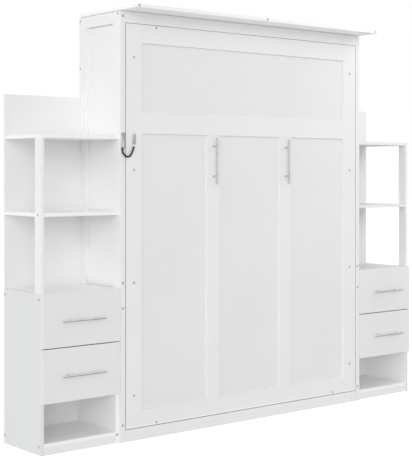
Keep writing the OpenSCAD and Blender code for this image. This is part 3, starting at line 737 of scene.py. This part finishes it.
# the barrel: radius, its axis behind the cap's face, and its ends from the foot and the top
BARREL_R, BARREL_SUNK, BARREL_UP, BARREL_DOWN = 5.2, 5.4, 2, 14
bm = bmesh.new()
add_plate(bm, LOCK_X, LOCK_Z, LOCK_W, LOCK_H - LOCK_CAP - LOCK_GROOVE, 0, LOCK_D - LOCK_STEP)
add_plate(bm, LOCK_X, LOCK_TOP - LOCK_CAP, LOCK_W, LOCK_CAP, 0, LOCK_D)
piece("lock_housing", bm, lock_metal, "cabinet", ["lock_body"], bevel=1.2)
bm = bmesh.new()
add_barrel(bm, LOCK_X, LOCK_Z + BARREL_UP, LOCK_TOP - BARREL_DOWN, BARREL_R, BARREL_SUNK - LOCK_D)
piece("lock_barrel", bm, lock_light, "cabinet")

# keeper: a foot plate, a raised upper part and a narrow band below it
RAISED_W, RAISED_BACK = KEEPER_W - 2.4, KEEPER_D - 2.4
RAISED_UP, RAISED_DOWN, RAISED_STEP = 18, 2, 2
BAND_UP, BAND_H, BAND_STEP = 9, 7, 0.4
bm = bmesh.new()
add_plate(bm, KEEPER_X, KEEPER_Z, KEEPER_W, KEEPER_H, 0, KEEPER_D - RAISED_STEP)
add_plate(bm, KEEPER_X, KEEPER_Z + RAISED_UP, RAISED_W, KEEPER_H - RAISED_UP - RAISED_DOWN,
          RAISED_BACK, KEEPER_D, corner=2.4)
piece("keeper_housing", bm, lock_metal, "bed", ["lock_keeper"], bevel=1.0)
bm = bmesh.new()
add_plate(bm, KEEPER_X, KEEPER_Z + BAND_UP, RAISED_W, BAND_H, RAISED_BACK, KEEPER_D - BAND_STEP,
          corner=1.6)
piece("keeper_band", bm, lock_light, "bed")

# ---------------------------------------------------------------- small parts


def add_bolt(bm, centre, normal, r, h):
    """A hexagon head on a washer."""
    normal = Vector(normal)
    add_lathe(bm, centre, normal, [(r * 1.45, 0), (r * 1.45, h * 0.22), (r * 1.35, h * 0.30)], 24)
    add_lathe(bm, centre + normal * h * 0.28 * MM, normal,
              [(r, 0), (r, h * 0.58), (r * 0.86, h * 0.70), (r * 0.35, h * 0.72)], 6)


def add_flat_head(bm, centre, normal, r, h):
    """A sunk screw head that hardly stands out, with a round socket."""
    add_lathe(bm, centre, normal,
              [(r, 0), (r * 0.97, h * 0.8), (r * 0.93, h), (r * 0.5, h), (r * 0.48, h * 0.3),
               (0, h * 0.3)], 20)


def add_nosed_bar(bm, x0, x1, z0, z1, proud, steps=5):
    """A bar along X on the front plane, whose front is a half round."""
    mid, half = (z0 + z1) / 2, (z1 - z0) / 2
    outline = [(-proud * math.cos(a), mid + half * math.sin(a))
               for a in (math.pi * (k / steps - 0.5) for k in range(steps + 1))]
    join_outlines(bm, *([bm.verts.new(at(x, into, z)) for into, z in outline] for x in (x0, x1)))


# pale edge strip along the foot of the bed front, lighter than the boards and coated: a painted
# highlight along the foot. In from the sides, lower and upper edge over the front's own, and how
# far it stands out
STRIP_IN, STRIP_UP, STRIP_TOP, STRIP_PROUD = 1, 0.3, 7, 1.6
bm = bmesh.new()
add_nosed_bar(bm, -DOOR_X + STRIP_IN, DOOR_X - STRIP_IN, DOOR_Z0 + STRIP_UP, DOOR_Z0 + STRIP_TOP,
              STRIP_PROUD)
piece("foot_edge_strip", bm, foot_highlight_mat, "bed")

# bolts of the bed's pivot plates, and sunk screws of the cabinet's plates: (in, height)
PLATE_BOLTS = ((66, 298), (66, 205), (66, 134), (36, 298), (36, 196))
PLATE_SCREWS = ((16, 204), (16, 302), (90, 204), (90, 302), (54, 302),
                (178, 838), (178, 882), (222, 838), (222, 882))
# radius and height of their heads, and of the bolt on the stud's face
BOLT, SCREW, STUD_BOLT = (5.2, 2.4), (5, 0.25), (5.4, 3.0)
STUD_FACE_X = STRUT_X - 7
for side, word in SIDES:
    bm = bmesh.new()
    for into, z in PLATE_BOLTS:
        add_bolt(bm, at(side * BOSS_X, into, z), (side, 0, 0), *BOLT)
    piece("plate_bolts_" + word, bm, zinc, "bed")
    bm = bmesh.new()
    for into, z in PLATE_SCREWS:
        add_flat_head(bm, at(side * WALL_PLATE_X, into, z), (-side, 0, 0), *SCREW)
    add_bolt(bm, at(side * STUD_FACE_X, STRUT_IN, STRUT_Z), (-side, 0, 0), *STUD_BOLT)
    piece("wall_plate_screws_" + word, bm, zinc, "cabinet")

# plastic plugs in the side tubes' open ends: between two distances from the bed's ends, and the
# play round them
PLUG_OUTER, PLUG_INNER, PLUG_PLAY = 15.5, 17.95, 0.4
for side, word in SIDES:
    bm = bmesh.new()
    x0, x1 = sorted((side * (FRAME_X - TUBE_W + PLUG_PLAY), side * (FRAME_X - PLUG_PLAY)))
    for z0, z1 in ((DOOR_Z0 + PLUG_OUTER, DOOR_Z0 + PLUG_INNER),
                   (DOOR_Z1 - PLUG_INNER, DOOR_Z1 - PLUG_OUTER)):
        add_box(bm, at(x0, TUBE_IN0 + PLUG_PLAY, z0), at(x1, TUBE_IN1 - PLUG_PLAY, z1))
    piece("tube_plugs_" + word, bm, plastic, "bed", bevel=1.0)

# rolled collars at both ends of the gas tubes: (distance from the upper eye, length), radius
COLLARS, COLLAR_R = ((21, 9), (334, 15)), 11.35
lean = math.atan2(STRUT_IN - PIVOT_IN, STRUT_Z - PIVOT_Z + STRUT_ARM)
down = Vector((0, -math.sin(lean), -math.cos(lean)))
for side, word in SIDES:
    bm = bmesh.new()
    eye, r = at(side * STRUT_X, STRUT_IN, STRUT_Z), COLLAR_R
    for start, length in COLLARS:
        add_lathe(bm, eye + down * start * MM, down,
                  [(r * 0.95, 0), (r, 1), (r, length - 4.5), (r * 0.965, length - 4),
                   (r * 0.965, length - 2.6), (r, length - 2), (r * 0.95, length)], 40)
    piece("strut_collars_" + word, bm, enamel, "strut_tube_" + word)

# flat caps on the towers' top shelves: in from the shelf's ends, and behind the front plane
SHELF_CAP_EDGE, SHELF_CAP_IN = 9, (60, 330)
bm = bmesh.new()
for sign in (-1, 1):
    for x in (CAB_X + SHELF_CAP_EDGE, TOWER_X1 - SHELF_CAP_EDGE):
        for into in SHELF_CAP_IN:
            add_lathe(bm, at(sign * x, into, TOP_SHELF_Z + BOARD), UP,
                      [(5, 0), (4.6, 0.5), (1.5, 0.6), (0, 0.4)], 20)
piece("shelf_caps", bm, cap_pale, "cabinet")

# ---------------------------------------------------------------- floor and light

# in metres: half the floor's width, and how far it lies under the part
FLOOR_HALF, FLOOR_DOWN = 40, 0.0005
# its tones, its roughness, and the strength of its own glow
FLOOR_LOW, FLOOR_HIGH, FLOOR_ROUGH, FLOOR_GLOW = 0.955, 0.965, 0.9, 0.36


def make_floor():
    """Plain pale floor, as white as the ground of the photo; it throws no light on the part."""
    bm = bmesh.new()
    bmesh.ops.create_grid(bm, x_segments=2, y_segments=2, size=FLOOR_HALF)
    mesh = bpy.data.meshes.new("floor")
    bm.to_mesh(mesh)
    bm.free()
    floor = new_object("floor", mesh)
    floor.location.z = -FLOOR_DOWN
    mat, tree, bsdf = new_material("pale_floor")
    cloud = noise(tree, coords(tree), scale=1.2, detail=2.0)
    tone = mottle(tree, cloud, grey(FLOOR_LOW), grey(FLOOR_HIGH))
    tree.links.new(tone, bsdf.inputs["Base Color"])
    bsdf.inputs["Roughness"].default_value = FLOOR_ROUGH
    bsdf.inputs["Emission Color"].default_value = (1, 1, 1, 1)
    bsdf.inputs["Emission Strength"].default_value = FLOOR_GLOW
    mesh.materials.append(mat)
    floor.visible_diffuse = False
    floor.visible_glossy = False
    floor.visible_shadow = False


COOL, PLAIN, WARM = (0.955, 0.972, 1.0), (1.0, 1.0, 1.0), (1.0, 0.998, 0.992)
# soft far lights: name, azimuth from the front (plus is to the right), elevation and spread in
# degrees, strength, colour
FAR_LIGHTS = (
    ("left_side", -90, 20, 50, 0.245, COOL),
    ("left_front", -40, 8, 40, 0.31, PLAIN),
    ("front_high", -18, 22, 40, 0.09, PLAIN),
    ("behind", 180, 25, 60, 0.22, PLAIN),
    ("from_floor", -20, -80, 30, 0.12, PLAIN),
)
# near lights, in metres and watts: name, place, target, width of the square, power
NEAR_LIGHTS = (
    ("near_right", (1.9, -1.2, 3.0), (0.5, 0.0, 1.6), 1.6, 14.5),
    ("near_low", (-1.3, -2.2, 0.5), (-0.8, 0.0, 0.2), 1.2, 0.7),
    ("near_under", (-0.3, -2.0, 0.3), (0.0, 0.0, 2.1), 1.6, 0.8),
)
# strength of the light from all round, and of the ground that the camera sees
AMBIENT, GROUND = 0.505, 1.0
# what the gloss reflects: darker under the horizon, brighter over it
GLOSS_LOW, GLOSS_HIGH, GLOSS_FROM, GLOSS_TO = 0.40, 1.10, -0.35, 0.45


def make_world():
    """A plain world of three backgrounds: for all rays, then for gloss, then for the camera."""
    world = bpy.data.worlds.new("studio")
    bpy.context.scene.world = world
    world.use_nodes = True
    tree = world.node_tree
    tree.nodes.clear()
    path = tree.nodes.new("ShaderNodeLightPath")
    out = tree.nodes.new("ShaderNodeOutputWorld")
    place = tree.nodes.new("ShaderNodeTexCoord")
    split = tree.nodes.new("ShaderNodeSeparateXYZ")
    rise = tree.nodes.new("ShaderNodeMapRange")
    tree.links.new(place.outputs["Generated"], split.inputs["Vector"])
    tree.links.new(split.outputs["Z"], rise.inputs["Value"])
    for key, value in (("From Min", GLOSS_FROM), ("From Max", GLOSS_TO),
                       ("To Min", GLOSS_LOW), ("To Max", GLOSS_HIGH)):
        rise.inputs[key].default_value = value

    def background(tint, strength=None):
        back = tree.nodes.new("ShaderNodeBackground")
        back.inputs["Color"].default_value = (*tint, 1)
        if strength is None:
            tree.links.new(rise.outputs["Result"], back.inputs["Strength"])
        else:
            back.inputs["Strength"].default_value = strength
        return back.outputs["Background"]

    shader = background(WARM, AMBIENT)
    for ray, over in (("Is Glossy Ray", background(PLAIN)),
                      ("Is Camera Ray", background(PLAIN, GROUND))):
        mix = tree.nodes.new("ShaderNodeMixShader")
        tree.links.new(path.outputs[ray], mix.inputs["Fac"])
        tree.links.new(shader, mix.inputs[1])
        tree.links.new(over, mix.inputs[2])
        shader = mix.outputs["Shader"]
    tree.links.new(shader, out.inputs["Surface"])


def add_light(name, kind, towards, energy):
    data = bpy.data.lights.new(name, kind)
    data.energy = energy
    light = new_object(name, data)
    light.rotation_euler = Vector(towards).to_track_quat("-Z", "Y").to_euler()
    return light


def make_lights():
    for name, azimuth, elevation, spread, strength, colour in FAR_LIGHTS:
        a, e = math.radians(azimuth), math.radians(elevation)
        towards = (-math.sin(a) * math.cos(e), math.cos(a) * math.cos(e), -math.sin(e))
        light = add_light(name, "SUN", towards, math.pi * strength)
        light.data.angle = math.radians(spread)
        light.data.color = colour
    for name, place, target, width, power in NEAR_LIGHTS:
        light = add_light(name, "AREA", Vector(target) - Vector(place), power)
        light.data.shape = "SQUARE"
        light.data.size = width
        light.location = place
        light.visible_camera = False
        light.visible_glossy = False


make_floor()
make_world()
make_lights()
view = bpy.context.scene.view_settings
view.view_transform = "Standard"
view.look = "None"
view.exposure = 0
view.gamma = 1
